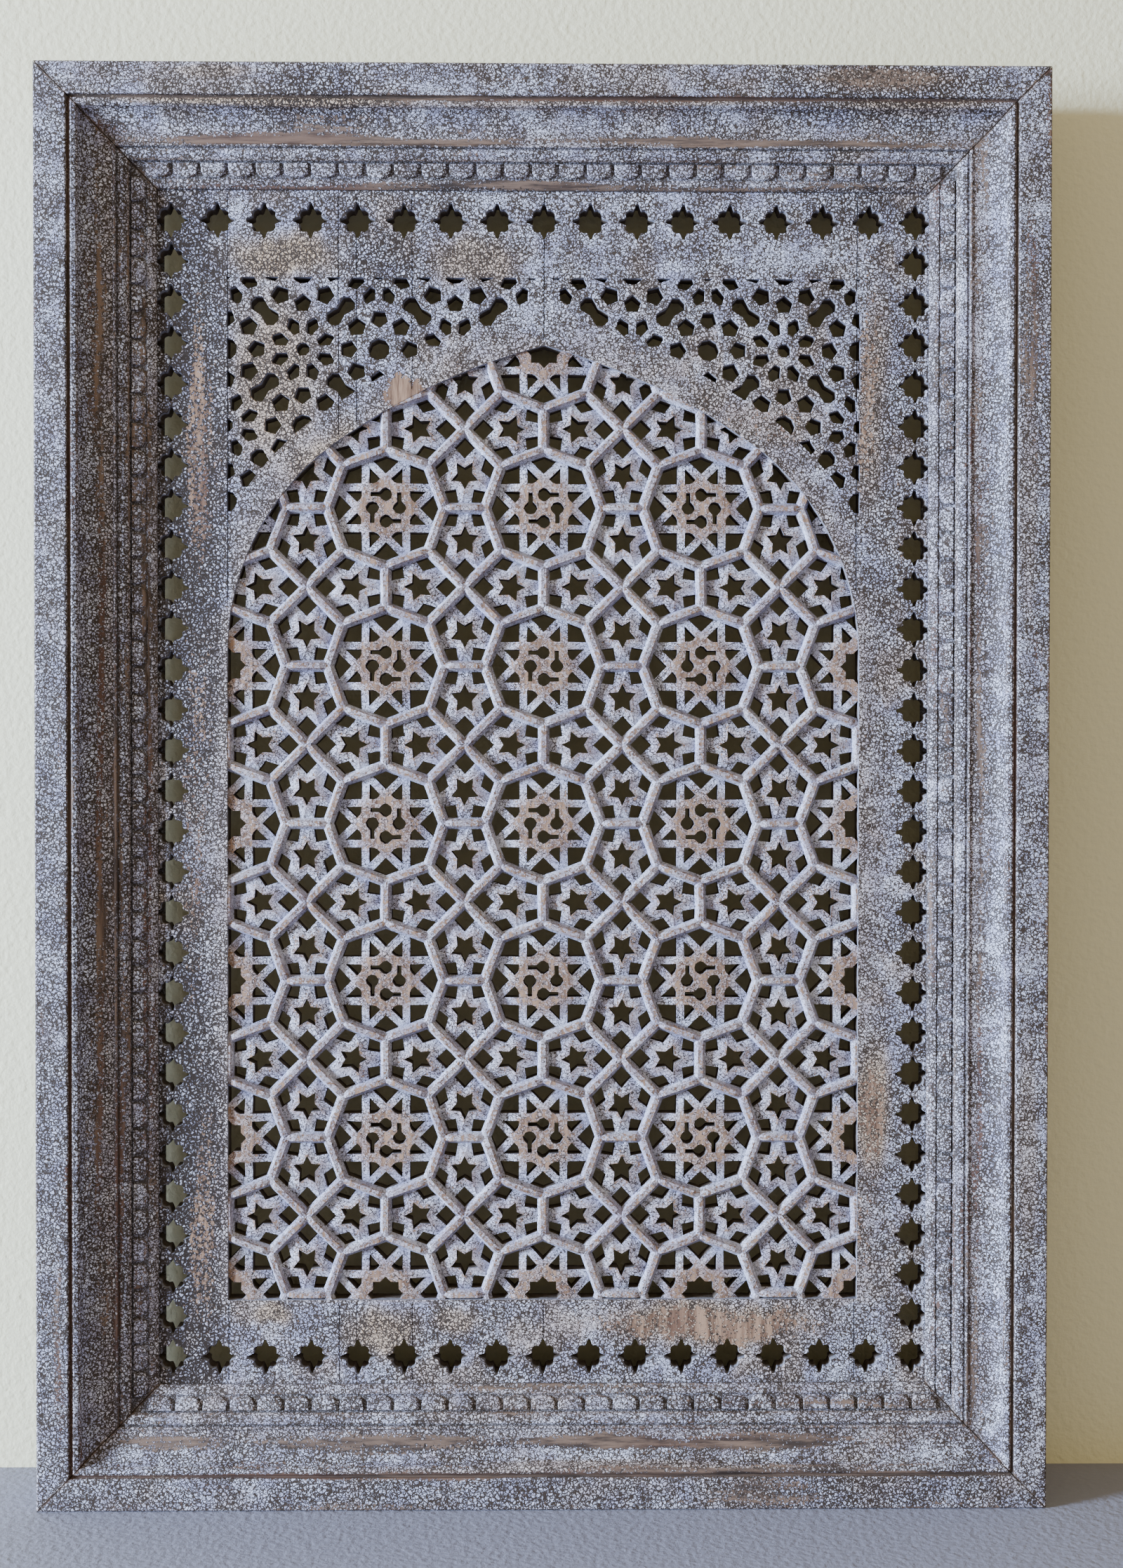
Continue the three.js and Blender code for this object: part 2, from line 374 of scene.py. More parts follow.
def medallion(kind):
    web = strap(0)
    for i in range(1, 8):
        carve(web, strap(i * math.pi / 4), "UNION")
    bm = bmesh.new()
    origin = Vector((0, 0))
    disc = [polar(origin, medallionWeb["discRadius"], i * math.pi / 16) for i in range(32)]
    addPrism(bm, disc, webFace, boardBack)
    carve(web, solidFrom("disc", bm), "UNION")
    bm = bmesh.new()
    if kind == "star":
        radii = (medallionWeb["starTip"], medallionWeb["starValley"])
        star = [polar(origin, radii[i % 2], i * math.pi / 8) for i in range(16)]
        addPrism(bm, star, webFace - 9, boardBack + 1)
    else:
        hand = 1 if kind == "left" else -1
        for i in range(4):
            keyhole(bm, i * math.pi / 2, hand)
    carve(web, solidFrom("centre", bm), "DIFFERENCE")
    # Extra edges round the disc and across the straps let the top rise as a low dome
    bm = bmesh.new()
    bm.from_mesh(web.data)
    for ring in (medallionWeb["discRadius"] - 1, medallionWeb["strapBreak"]):
        for i in range(8):
            way = Vector((math.cos(i * math.pi / 4), 0, math.sin(i * math.pi / 4)))
            geometry = bm.verts[:] + bm.edges[:] + bm.faces[:]
            bmesh.ops.bisect_plane(bm, geom=geometry, dist=0.01, plane_co=way * ring, plane_no=way)
    bmesh.ops.triangulate(bm, faces=bm.faces)
    outer = medallionWeb["domeFoot"]
    for vert in bm.verts:
        if vert.co.y < webFace + 1:
            radius = math.hypot(vert.co.x, vert.co.z)
            share = (outer - radius) / (outer - medallionWeb["discRadius"])
            vert.co.y -= medallionWeb["discRise"] * min(1, max(0, share))
    bm.to_mesh(web.data)
    bm.free()
    return web


def medallionKind(column, row):
    # Whole ones have keyholes, turned the other way at the right and at the top of the middle
    edge = jali["columns"] // 2
    if abs(column) == edge or row in (0, jali["rows"] - 1):
        return "star"
    return "right" if column > 0 or (column == 0 and row == jali["rows"] - 2) else "left"


def medallionWebs():
    kinds = {kind: medallion(kind) for kind in ("left", "right", "star")}
    bm = bmesh.new()
    for column, row, centre in octagonCentres():
        if any(archDistance(point) < -2 for point in octagonCorners(centre)):
            before = len(bm.verts)
            bm.from_mesh(kinds[medallionKind(column, row)].data)
            bm.verts.ensure_lookup_table()
            placed = bm.verts[before:]
            bmesh.ops.translate(bm, vec=(centre.x, 0, centre.y), verts=placed)
    for web in kinds.values():
        dropPiece(web)
    return newPiece("medallion_webs", bm)


def openingPrism(offset):
    bm = bmesh.new()
    foot = [Vector((-halfField - offset, fieldBottom - offset))]
    foot.append(Vector((halfField + offset, fieldBottom - offset)))
    addPrism(bm, foot + archPoints(offset, 0, 24), boardFace - 3, boardBack + 1)
    return solidFrom("opening", bm)


def lattice():
    net = ribNetwork()
    carve(net, pentagonWebs(), "UNION")
    carve(net, medallionWebs(), "UNION")
    carve(net, openingPrism(0.8), "INTERSECT")  # bites a little into the board
    return net


# Spandrels: eightfold rosettes, mirrored about the middle of the panel

spandrel = {
    "pitch": 139.8,
    "rise": 4.2,
    "eye": 6.2,
    "petalRing": 22.4,
    "petal": [(-7.4, -2.8), (-7.4, 2.8), (1.8, 6.2), (8.0, 1.3), (8.0, -1.3), (1.8, -6.2)],
    "axialRing": 42.0,
    "axialHole": 8.5,
    "outerRing": 53.7,
    "outerHole": 9.0,
    "crossHole": 10.1,
    "bone": [(15.1, 3.3), (10.8, 7.7), (5.6, 6.6), (0, 5.0)],
    "archBand": 29.0,
    "slack": 8.0,
    "flare": 0.7,
}


def evenHole(place, radius, corners, angle):
    return [polar(place, radius, angle + i * 2 * math.pi / corners) for i in range(corners)]


def rosetteHoles(centre):
    eighth = math.pi / 4
    holes = [(centre, evenHole(centre, spandrel["eye"], 8, eighth / 2))]
    for i in range(8):
        angle = eighth * (i + 0.5)
        place = polar(centre, spandrel["petalRing"], angle)
        holes.append((place, shapeAt(spandrel["petal"], place, angle)))
    for i in range(4):
        angle = 2 * eighth * i
        place = polar(centre, spandrel["axialRing"], angle)
        holes.append((place, evenHole(place, spandrel["axialHole"], 5, angle)))
        angle = eighth * (i + 0.5)
        place = polar(centre, spandrel["outerRing"], angle)
        holes.append((place, evenHole(place, spandrel["outerHole"], 5, angle)))
    quarterBone = spandrel["bone"]
    upper = quarterBone[:3] + [(-along, across) for along, across in reversed(quarterBone)][1:]
    upper.insert(3, quarterBone[3])
    bone = upper + [(along, -across) for along, across in reversed(upper)]
    for angle in (eighth, 3 * eighth):
        place = polar(centre, spandrel["pitch"] * math.sqrt(0.5) / 2, angle)
        holes.append((place, shapeAt(bone, place, angle)))
    return holes


def inSpandrel(place):
    slack = spandrel["slack"]
    inField = place.y < fieldTop + slack and abs(place.x) < halfField + slack
    return inField and archDistance(place) > spandrel["archBand"] - 2


def spandrelCutters():
    half = spandrel["pitch"] / 2
    holes = []
    for i in range(6):
        for j in range(5):
            centre = Vector((i * half - halfField, fieldTop + spandrel["rise"] - j * half))
            if (i + j) % 2 == 0:
                holes += rosetteHoles(centre)
            else:
                holes.append((centre, evenHole(centre, spandrel["crossHole"], 9, 0.3)))
    bm = bmesh.new()
    for place, points in holes:
        if place.x < -5 and inSpandrel(place):
            for side in (1, -1):
                sided = [Vector((side * point.x, point.y)) for point in points]
                addPrism(bm, sided, boardFace, boardBack + 2, spandrel["flare"])
    cutters = solidFrom("spandrel_holes", bm)
    start = math.acos(jali["haunchRadius"] / (jali["haunchRadius"] + spandrel["archBand"]))
    edge = [Vector((-halfField, fieldTop)), Vector((halfField, fieldTop))]
    bm = bmesh.new()
    addPrism(bm, archPoints(spandrel["archBand"], start, 16) + edge, boardFace - 3, boardBack + 3)
    return carve(cutters, solidFrom("spandrel_field", bm), "INTERSECT")


# Border holes with four round lobes and four small spurs

quatrefoil = {
    "spur": 15.9,
    "root": 12.1,
    "neck": 10.7,
    "side": 12.3,
    "lobe": 12.9,
    "rowCount": 17,
    "columnCount": 29,
    "columnInset": 12.0,
    "topRowInset": 27.0,
    "bottomRowInset": 24.0,
    "flare": 0.6,
}


def quatrefoilOutline(place, wobble):
    points = []
    quarter = [
        (math.radians(-4), quatrefoil["spur"]),
        (math.radians(4), quatrefoil["spur"]),
        (math.radians(12), quatrefoil["root"]),
        (math.radians(20), quatrefoil["neck"]),
        (math.radians(32), quatrefoil["side"]),
        (math.radians(45), quatrefoil["lobe"]),
        (math.radians(58), quatrefoil["side"]),
        (math.radians(70), quatrefoil["neck"]),
        (math.radians(78), quatrefoil["root"]),
    ]
    for i in range(4):
        for angle, radius in quarter:
            points.append(polar(place, radius * wobble, angle + i * math.pi / 2))
    return points


def quatrefoilPlaces():
    left = boardLow.x + jali["tongue"] + quatrefoil["columnInset"]
    bottom = boardLow.z + jali["tongue"] + quatrefoil["bottomRowInset"]
    top = boardHigh.z - jali["tongue"] - quatrefoil["topRowInset"]
    across = quatrefoil["rowCount"] - 1
    up = quatrefoil["columnCount"] - 1
    for i in range(across + 1):
        for z in (bottom, top):
            yield Vector((left - 2 * left * i / across, z))
    for i in range(1, up):
        for x in (left, -left):
            yield Vector((x, bottom + (top - bottom) * i / up))


def quatrefoilCutters():
    bm = bmesh.new()
    for place in quatrefoilPlaces():
        wobble = 1 + 0.05 * noise.noise((place.x, place.y, 3.0))
        outline = quatrefoilOutline(place, wobble)
        addPrism(bm, outline, boardFace, boardBack + 2, quatrefoil["flare"])
    return solidFrom("quatrefoils", bm)


# Glue seams of the board's planks, opened a little by age, each at its own x

seams = {
    "width": 0.9,
    "depth": 2.5,
    "places": [-290, -188.5, -172, -121, 0, 288],
}


def seamCutters():
    bm = bmesh.new()
    half = seams["width"] / 2
    edge = jali["tongue"] + 3
    for x in seams["places"]:
        archTop = springZ
        while archDistance(Vector((x, archTop))) < 4:
            archTop += 2
        for low, high in ((boardLow.z + edge, fieldBottom - 4), (archTop, boardHigh.z - edge)):
            corners = [(x - half, low), (x + half, low), (x + half, high), (x - half, high)]
            depth = boardFace + seams["depth"]
            addPrism(bm, [Vector(corner) for corner in corners], boardFace - 3, depth)
    return solidFrom("seams", bm)


def boardBlank():
    bm = bmesh.new()
    corners = [(boardLow.x, boardLow.z), (boardHigh.x, boardLow.z)]
    corners += [(boardHigh.x, boardHigh.z), (boardLow.x, boardHigh.z)]
    addPrism(bm, [Vector(corner) for corner in corners], boardFace, boardBack)
    return solidFrom("jali_board", bm)


# How faces are told apart: by how squarely they face the front, and by depth behind the webs
panelFaces = {"openingEdge": 2, "wallFacing": 0.2, "webFacing": 0.88, "ribAboveWeb": 4.6}


def sortPanelFaces(mesh):
    # 0 the flat painted board, 1 ribs, 2 webs, 3 walls of the holes and the back
    edge = panelFaces["openingEdge"]
    inside = [insideOpening(Vector((vert.co.x, vert.co.z)), edge) for vert in mesh.vertices]
    for face in mesh.polygons:
        inOpening = any(inside[vertex] for vertex in face.vertices)
        facing = -face.normal.y
        if facing < panelFaces["wallFacing"]:
            face.material_index = 3
        elif not inOpening:
            face.material_index = 0
        elif face.center.y < webFace - panelFaces["ribAboveWeb"] or facing < panelFaces["webFacing"]:
            face.material_index = 1
        else:
            face.material_index = 2


def splitFaces(mesh):
    # Triangles stay sound when their corners drift apart
    bm = bmesh.new()
    bm.from_mesh(mesh)
    bmesh.ops.dissolve_degenerate(bm, edges=bm.edges, dist=0.001)
    bmesh.ops.triangulate(bm, faces=bm.faces)
    bm.to_mesh(mesh)
    bm.free()


# Unevenness of hand carving: how far it strays, how quickly it changes, and the plain outer edge
handWork = {"drift": 0.5, "perMm": 0.045, "plainEdge": 12, "seed": 7}


def handCut(mesh):
    # The seed gives the same drift in each run
    noise.seed_set(handWork["seed"])
    for vert in mesh.vertices:
        drift = noise.noise_vector(vert.co * handWork["perMm"]) * handWork["drift"]
        if abs(vert.co.x) < boardHigh.x - handWork["plainEdge"]:
            vert.co.x += drift.x
            vert.co.z += drift.z


def jaliPanel():
    board = boardBlank()
    for cutter in (openingPrism(0), quatrefoilCutters(), spandrelCutters(), seamCutters()):
        carve(board, cutter, "DIFFERENCE")
    carve(board, lattice(), "UNION")
    sortPanelFaces(board.data)
    splitFaces(board.data)
    handCut(board.data)
    return board


def setWear(piece, wearAt, grimeAndShadeAt):
    # Two point values that the paint reads: rubbed to the wood, and dirt with painted shade that
    # darkens the hollows and grooves
    places = [vert.co.copy() for vert in piece.data.vertices]
    for name, valueAt in (("wear", wearAt), ("grime_and_shade", grimeAndShadeAt)):
        attribute = piece.data.attributes.new(name, "FLOAT", "POINT")
        attribute.data.foreach_set("value", [valueAt(place) for place in places])


# Wear of the lattice by depth: rib ridges, rib sides, then the raised discs in the webs
panelWearAt = {"ridge": (1.0, 0.5), "side": (2.7, 0.35), "disc": 0.66, "discFoot": 0.8, "discRise": 3.4}
# Dirt with painted shade: darkest deep in the holes, lighter on the web ground between the ribs
panelGrimeAndShadeAt = {"holes": (3, 1.0), "webs": (-0.6, 0.4)}


def panelWear(place):
    if not insideOpening(Vector((place.x, place.z)), -1):
        return 0.0
    for depth, wear in (panelWearAt["ridge"], panelWearAt["side"]):
        if place.y < boardFace + depth:
            return wear
    rise = (webFace - panelWearAt["discFoot"] - place.y) / panelWearAt["discRise"]
    return panelWearAt["disc"] * min(1, max(0, rise))


def panelGrimeAndShade(place):
    # Darker the deeper a place lies: dirt with painted shade in the recesses
    for depth, grime_and_shade in panelGrimeAndShadeAt.values():
        if place.y > webFace + depth:
            return grime_and_shade
    return 0.0


board = jaliPanel()
setWear(board, panelWear, panelGrimeAndShade)
print("jali board", len(board.data.polygons))


# Frame rails: the moulding's section as (across, height, wear, dirt with painted shade)

moulding = {
    "mitreGap": 0.45,
    "grooveDepth": 10.3,
    "grooveGap": 0.3,
    "steps": 40,
    "wave": 0.35,
    "endRings": (2.5, 5.0),
    "mitreWidth": 1.5,
    "mitreWear": (0.7, 0.35),
    "section": [
        (0.0, 0.0, 0.0, 0.5),
        (0.0, 66.0, 0.1, 0.0),
        (0.5, 68.8, 0.3, 0.0),
        (1.8, 69.9, 0.2, 0.0),
        (4.0, 70.0, 0.0, 0.0),
        (26.5, 70.0, 0.0, 0.0),
        (28.8, 69.8, 0.05, 0.0),
        (29.6, 69.2, 0.1, 0.0),
        # The joint below the flat: bare wood, darkened with dirt and painted shade in its gap
        (30.0, 66.8, 0.8, 0.6),
        (30.8, 65.8, 1.0, 0.6),
        (32.2, 66.6, 0.9, 0.1),
        (32.8, 67.7, 0.4, 0.0),
        (34.4, 68.4, 0.0, 0.0),
        (37.6, 67.6, 0.0, 0.0),
        (39.2, 65.6, 0.2, 0.0),
    ],
    "coveEnd": (66.5, 50.4),
    "coveSteps": 9,
    "inner": [
        (67.2, 50.8, 0.3, 0.0),
        (68.2, 51.7, 0.35, 0.0),
        (69.2, 51.6, 0.3, 0.0),
        # A dark line after the ridge: dirt with painted shade in the small groove
        (70.0, 50.4, 0.2, 0.5),
        (70.4, 48.6, 0.2, 1.0),
        (71.2, 48.9, 0.1, 0.5),
        (72.4, 49.4, 0.1, 0.0),
        (76.0, 48.4, 0.0, 0.0),
        (79.0, 46.4, 0.2, 0.0),
        (80.2, 45.2, 0.5, 0.0),
        # The ground under the tongues is darkened with dirt and painted shade between them
        (81.0, 42.6, 0.1, 0.9),
        (82.0, 41.2, 0.1, 0.8),
        (95.0, 38.4, 0.1, 0.7),
        (95.8, 39.2, 0.2, 0.1),
        (99.4, 37.8, 0.2, 0.0),
        (102.4, 35.6, 0.2, 0.0),
        # The lip's lower edge gets painted shade where it meets the board
        (103.5, 34.4, 0.3, 0.4),
    ],
}
railWidth = 103.5


def railSection():
    points = list(moulding["section"])
    startAcross, startHeight = points[-1][:2]
    endAcross, endHeight = moulding["coveEnd"]
    for i in range(1, moulding["coveSteps"] + 1):
        turn = math.pi / 2 * i / moulding["coveSteps"]
        across = startAcross + (endAcross - startAcross) * (1 - math.cos(turn))
        height = startHeight + (endHeight - startHeight) * math.sin(turn)
        share = i / moulding["coveSteps"]
        points.append((across, height, 0.3 * min(1, max(0, 3 * share - 1.7)), 0.0))
    points += moulding["inner"]
    grooveEnd = railWidth - moulding["grooveDepth"]
    front = -boardFace + moulding["grooveGap"]
    back = -boardBack - moulding["grooveGap"]
    # The groove that holds the board is darkened fully, as dirt with painted shade
    points += [(railWidth, front, 0.0, 1.0), (grooveEnd, front, 0.0, 1.0)]
    points += [(grooveEnd, back, 0.0, 1.0), (railWidth, back, 0.0, 1.0)]
    points += [(railWidth, 1.0, 0.2, 0.5), (railWidth - 1.0, 0.0, 0.2, 0.5)]
    return points


# Carved tongues: pads with a round end towards the board

tongues = {
    "pitch": 25.0,
    "gap": 2.8,
    "start": 82.0,
    "length": 12.8,
    "straight": 5.0,
    "top": 44.4,
    "fall": 0.27,
    "crownDepth": 2.2,
    "crownReach": (0.6, 13.2),
    "crownWear": (0.15, 0.0),
}


def addTongue(bm, along, width):
    before = len(bm.verts)
    half = width / 2
    length = tongues["length"] * (1 + 0.03 * noise.noise((along * 0.1, width, 1.0)))
    reach = length - tongues["straight"]
    points = [Vector((-half, 0)), Vector((-half, tongues["straight"]))]
    for i in range(1, 10):
        turn = math.pi * i / 10
        bulge = abs(math.sin(turn)) ** 0.7
        points.append(Vector((-half * math.cos(turn), tongues["straight"] + reach * bulge)))
    points += [Vector((half, tongues["straight"])), Vector((half, 0))]
    ring = bmesh.ops.create_circle(bm, cap_ends=True, segments=len(points), radius=1.0)["verts"]
    for vert, point in zip(ring, points):
        vert.co = (point.x, tongues["top"] - 7, point.y)
    cap = sweepFace(bm, ring[0].link_faces[0], tongues["top"] - 1.6, True)
    for thickness, rise in ((0.9, 1.1), (2.6, 0.4)):
        bmesh.ops.inset_individual(bm, faces=[cap], thickness=thickness)
        for vert in cap.verts:
            vert.co.y += rise
    bm.verts.ensure_lookup_table()
    for vert in bm.verts[before:]:
        across, height = vert.co.z, vert.co.y
        vert.co = (vert.co.x + along, tongues["start"] + across, height - tongues["fall"] * across)


def tonguesAlong(length, place):
    bm = bmesh.new()
    clear = length - 2 * (tongues["start"] + tongues["length"])
    count = round((clear + tongues["gap"]) / tongues["pitch"])
    pitch = (clear + tongues["gap"]) / count
    for i in range(count):
        width = pitch - tongues["gap"] + 0.8 * noise.noise((i * 1.7, length * 0.01, 5.0))
        addTongue(bm, (i - (count - 1) / 2) * pitch, width)
    for vert in bm.verts:
        vert.co = place(*vert.co)
    return solidFrom("tongues", bm)


def frameRail(name, length, place):
    # Local axes are along the rail, across it from the outer edge, and height off the back
    section = railSection()
    bm = bmesh.new()
    ring = bmesh.ops.create_circle(bm, cap_ends=True, segments=len(section), radius=1.0)["verts"]
    half = length / 2 - moulding["mitreGap"]
    for vert, (across, height, _, _) in zip(ring, section):
        vert.co = (-(half - across), across, height)
    cap = ring[0].link_faces[0]
    # Extra rings close to the mitres carry the wear along them
    stops = [-1 + 2 * step / moulding["steps"] for step in range(1, moulding["steps"])]
    near, far = moulding["endRings"]
    stops = [(-1, near), (-1, far)] + [(stop, 0) for stop in stops] + [(1, -far), (1, -near), (1, 0)]
    for step, (share, offset) in enumerate(stops):
        made = bmesh.ops.extrude_face_region(bm, geom=[cap], use_keep_orig=True)["geom"]
        if step:
            bmesh.ops.delete(bm, geom=[cap], context="FACES_ONLY")
        cap = next(item for item in made if isinstance(item, bmesh.types.BMFace))
        for vert in cap.verts:
            vert.co.x = share * (half - vert.co.y) + offset
    for vert in bm.verts:
        along, across, height = vert.co
        inner = 1.5 < across < railWidth - 12 and 2 < height < 69.8
        if inner and abs(along) < half - across - 2:
            vert.co.z += moulding["wave"] * noise.noise((along * 0.012, across * 0.03, length))
        vert.co = place(*vert.co)
    rail = solidFrom(name, bm)
    carve(rail, tonguesAlong(length, place), "UNION")
    return rail


middleZ = (frameLow.z + frameHigh.z) / 2
frameWidth, frameHeight = frameHigh.x - frameLow.x, frameHigh.z - frameLow.z


def onTop(along, across, height):
    return Vector((along, -height, frameHigh.z - across))


def onBottom(along, across, height):
    return Vector((along, -height, frameLow.z + across))


def onLeft(along, across, height):
    return Vector((frameLow.x + across, -height, middleZ + along))


def onRight(along, across, height):
    return Vector((frameHigh.x - across, -height, middleZ + along))


railPlans = {
    "frame_top_rail": (frameWidth, onTop, lambda p: (p.x, frameHigh.z - p.z)),
    "frame_bottom_rail": (frameWidth, onBottom, lambda p: (p.x, p.z - frameLow.z)),
    "frame_left_stile": (frameHeight, onLeft, lambda p: (p.z - middleZ, p.x - frameLow.x)),
    "frame_right_stile": (frameHeight, onRight, lambda p: (p.z - middleZ, frameHigh.x - p.x)),
}


def railValue(across, height, item):
    # Value of the nearest section point; the tongues are clean with worn crowns
    past = across - tongues["start"]
    low, high = tongues["crownReach"]
    if low < past < high and height > tongues["top"] - tongues["crownDepth"] - tongues["fall"] * past:
        return tongues["crownWear"][item]
    nearest = min(railSectionPoints, key=lambda p: (p[0] - across) ** 2 + (p[1] - height) ** 2)
    return nearest[2 + item]


railSectionPoints = railSection()
rails = {}


def markRail(rail, length, localOf):
    # Worn along the mitres as well as by the section
    def valueAt(place, item):
        along, across = localOf(place)
        toMitre = length / 2 - across - abs(along)
        value = railValue(across, -place.y, item)
        atMitre = toMitre < moulding["mitreWidth"]
        return max(value, moulding["mitreWear"][item]) if atMitre else value
    setWear(rail, lambda place: valueAt(place, 0), lambda place: valueAt(place, 1))


for name, (length, place, localOf) in railPlans.items():
    rail = frameRail(name + "_carved", length, place)
    markRail(rail, length, localOf)
    rails[name] = rail
print("frame rails", sum(len(rail.data.polygons) for rail in rails.values()))


# Materials

def linearColour(code):
    channels = [int(code[i:i + 2], 16) / 255 for i in (1, 3, 5)]
    linear = [c / 12.92 if c <= 0.04045 else ((c + 0.055) / 1.055) ** 2.4 for c in channels]
    return (*linear, 1)


def addNode(tree, kind, inputs, output=0, **settings):
    # Adds a node with its settings, links and hex colours, and returns one of its outputs
    node = tree.nodes.new("ShaderNode" + kind)
    for name, value in settings.items():
        setattr(node, name, value)
    for socket, value in inputs.items():
        if isinstance(value, bpy.types.NodeSocket):
            tree.links.new(value, node.inputs[socket])
        elif isinstance(value, str):
            node.inputs[socket].default_value = linearColour(value)
        else:
            node.inputs[socket].default_value = value
    return node.outputs[output]


def newMaterial(name, roughness):
    material = bpy.data.materials.new(name)
    material.use_nodes = True
    shader = material.node_tree.nodes["Principled BSDF"]
    shader.inputs["Roughness"].default_value = roughness
    return material, material.node_tree, shader


# Old oil paint over hardwood: a dull lavender-grey film, alligatored into flakes of about 3 mm
# between wider cracks, with flakes lost where it was rubbed and brown wood under it. The flakes
# are drawn a little coarser than life, so that they still show in a small picture. Sizes in mm

paint = {
    "light": "#EAEBFF",
    "dark": "#BDBDDC",
    "beige": "#DDBD9B",
    "crack": "#46392F",
    "crackDeep": "#30241D",
    "woodRed": "#5B3A2F",
    # Dirt with painted shade for the hollows, grooves and web ground
    "grime_and_shade": "#3A332F",
    "onHoleWalls": "#85828C",
    "flake": 3.3,
    "flakeGap": 0.22,
    "flakeBend": 4.6,
    "flakeBendSize": 3.4,
    "hairline": 0.14,
    "worm": 3.0,
    "wormGap": 0.05,
    "crackPatch": 34,
    "tonePatch": 24,
    "stainPatch": 70,
    "spotEdge": 22,
    "grain": 2.0,
    "woodFibre": 6,
    "redPatch": 28,
    "streak": 16,
    "chip": 2.8,
    "roughness": 0.66,
}
holeWall = {"dark": "#40342B", "light": "#655548", "painted": -0.0245, "bare": -0.0215,
            "sawMark": 7, "ragged": 5}
smooth = {"interpolation_type": "SMOOTHSTEP"}
asColour = {"output": 2, "data_type": "RGBA"}

# Places where the paint is gone or thin, as (x, z, half width, half height, strength)
boardBare = [
    (153, -1102, 100, 18, 0.27),
    (-312, -1010, 14, 110, 0.2),
    (-127, -241, 21, 17, 0.42),
    (-317, -285, 15, 130, 0.21),
    (-320, -640, 14, 180, 0.14),
    (302, -230, 12, 95, 0.17),
    (304, -905, 13, 52, 0.20),
    (300, -1010, 12, 60, 0.13),
    (205, -268, 50, 22, 0.10),
]
# Places where it is stained beige
boardStained = [
    (-243, -119, 58, 24, 0.95),
    (-65, -119, 42, 26, 0.8),
    (-250, -230, 46, 90, 0.85),
    (-190, -310, 60, 44, 0.9),
    (153, -1100, 110, 26, 0.9),
    (304, -900, 18, 75, 0.9),
    (306, -250, 16, 110, 0.7),
    (205, -268, 60, 26, 0.6),
    (-251, -1092, 24, 13, 0.9),
    (-149, -1108, 40, 26, 0.9),
    (-79, -1096, 26, 15, 0.8),
]
# Places with wide dark cracks
boardCracked = [
    (-326, -330, 36, 330, 0.95),
    (-326, -980, 36, 300, 1.0),
    (322, -330, 36, 260, 0.3),
    (-150, -75, 110, 22, 0.35),
    (290, -75, 60, 26, 0.45),
    (-150, -120, 40, 34, 0.6),
]
# The same for the frame
frameBare = [
    (299, 34, 66, 12, 0.22),
    (205, -1243, 64, 12, 0.22),
    (-204, 0, 45, 12, 0.12),
    (45, -1204, 95, 8, 0.26),
    (195, -1204, 75, 9, 0.27),
    (-150, -1204, 120, 7, 0.25),
    (-340, -1203, 60, 7, 0.23),
    (438, -170, 9, 110, 0.18),
    (60, 14, 210, 4, 0.2),
    (-180, -18, 190, 5, 0.26),
    (190, -18, 220, 4, 0.22),
    (0, -54, 330, 3, 0.22),
    (60, -1225, 380, 4, 0.2),
    (310, -1170, 70, 5, 0.1),
    (-403, -600, 4, 620, 0.17),
    (-386, -800, 5, 400, 0.17),
    (-364, -600, 4, 560, 0.16),
    (398, -700, 3, 500, 0.14),
]
frameStained = [
    (-250, 11, 170, 5, 0.9),
    (60, 11, 190, 4, 0.7),
    (330, 11, 80, 5, 0.8),
    (-300, 36, 44, 9, 0.7),
    (299, 34, 75, 12, 0.8),
    (40, -1222, 300, 4, 0.6),
    (437, -930, 13, 110, 0.5),
    (436, -350, 12, 120, 0.4),
]
frameCracked = [
    (-204, 10, 60, 36, 0.5),
    (300, 26, 110, 30, 0.45),
    (-440, -1000, 24, 260, 0.25),
    (-397, -620, 34, 700, 0.3),
    (-190, -19, 170, 4, 0.9),
    (0, -56, 400, 3, 0.8),
    (0, -1205, 300, 5, 0.6),
    (-444, -500, 18, 500, 0.16),
    (-100, -1243, 360, 20, 0.25),
    (250, -1240, 160, 24, 0.3),
    (430, -250, 30, 220, 0.2),
]


def spotField(tree, place, spots):
    # Largest value of the soft oval spots at a place
    total = None
    for x, z, wide, high, strength in spots:
        scale = (1 / (wide * mm), 0, 1 / (high * mm))
        shift = (-x / wide, 0, -z / high)
        scaled = addNode(tree, "Mapping", {"Vector": place, "Location": shift, "Scale": scale})
        distance = addNode(tree, "VectorMath", {0: scaled}, "Value", operation="LENGTH")
        value = addNode(tree, "MapRange", {"Value": distance, "From Min": 1.35, "From Max": 0.45,
                                           "To Max": strength}, **smooth)
        if total:
            value = addNode(tree, "Math", {0: total, 1: value}, operation="MAXIMUM")
        total = value
    return total


def disturbed(tree, place, source, size, amount):
    # Moves the places about by half the amount at most, in lumps of the given size
    inputs = {"Vector": source, "Scale": 1000 / size, "Detail": 2}
    wobble = addNode(tree, "TexNoise", inputs, "Color")
    half = addNode(tree, "VectorMath", {0: wobble, 1: (0.5, 0.5, 0.5)}, operation="SUBTRACT")
    inputs = {0: half, 1: (amount * mm,) * 3, 2: place}
    return addNode(tree, "VectorMath", inputs, operation="MULTIPLY_ADD")


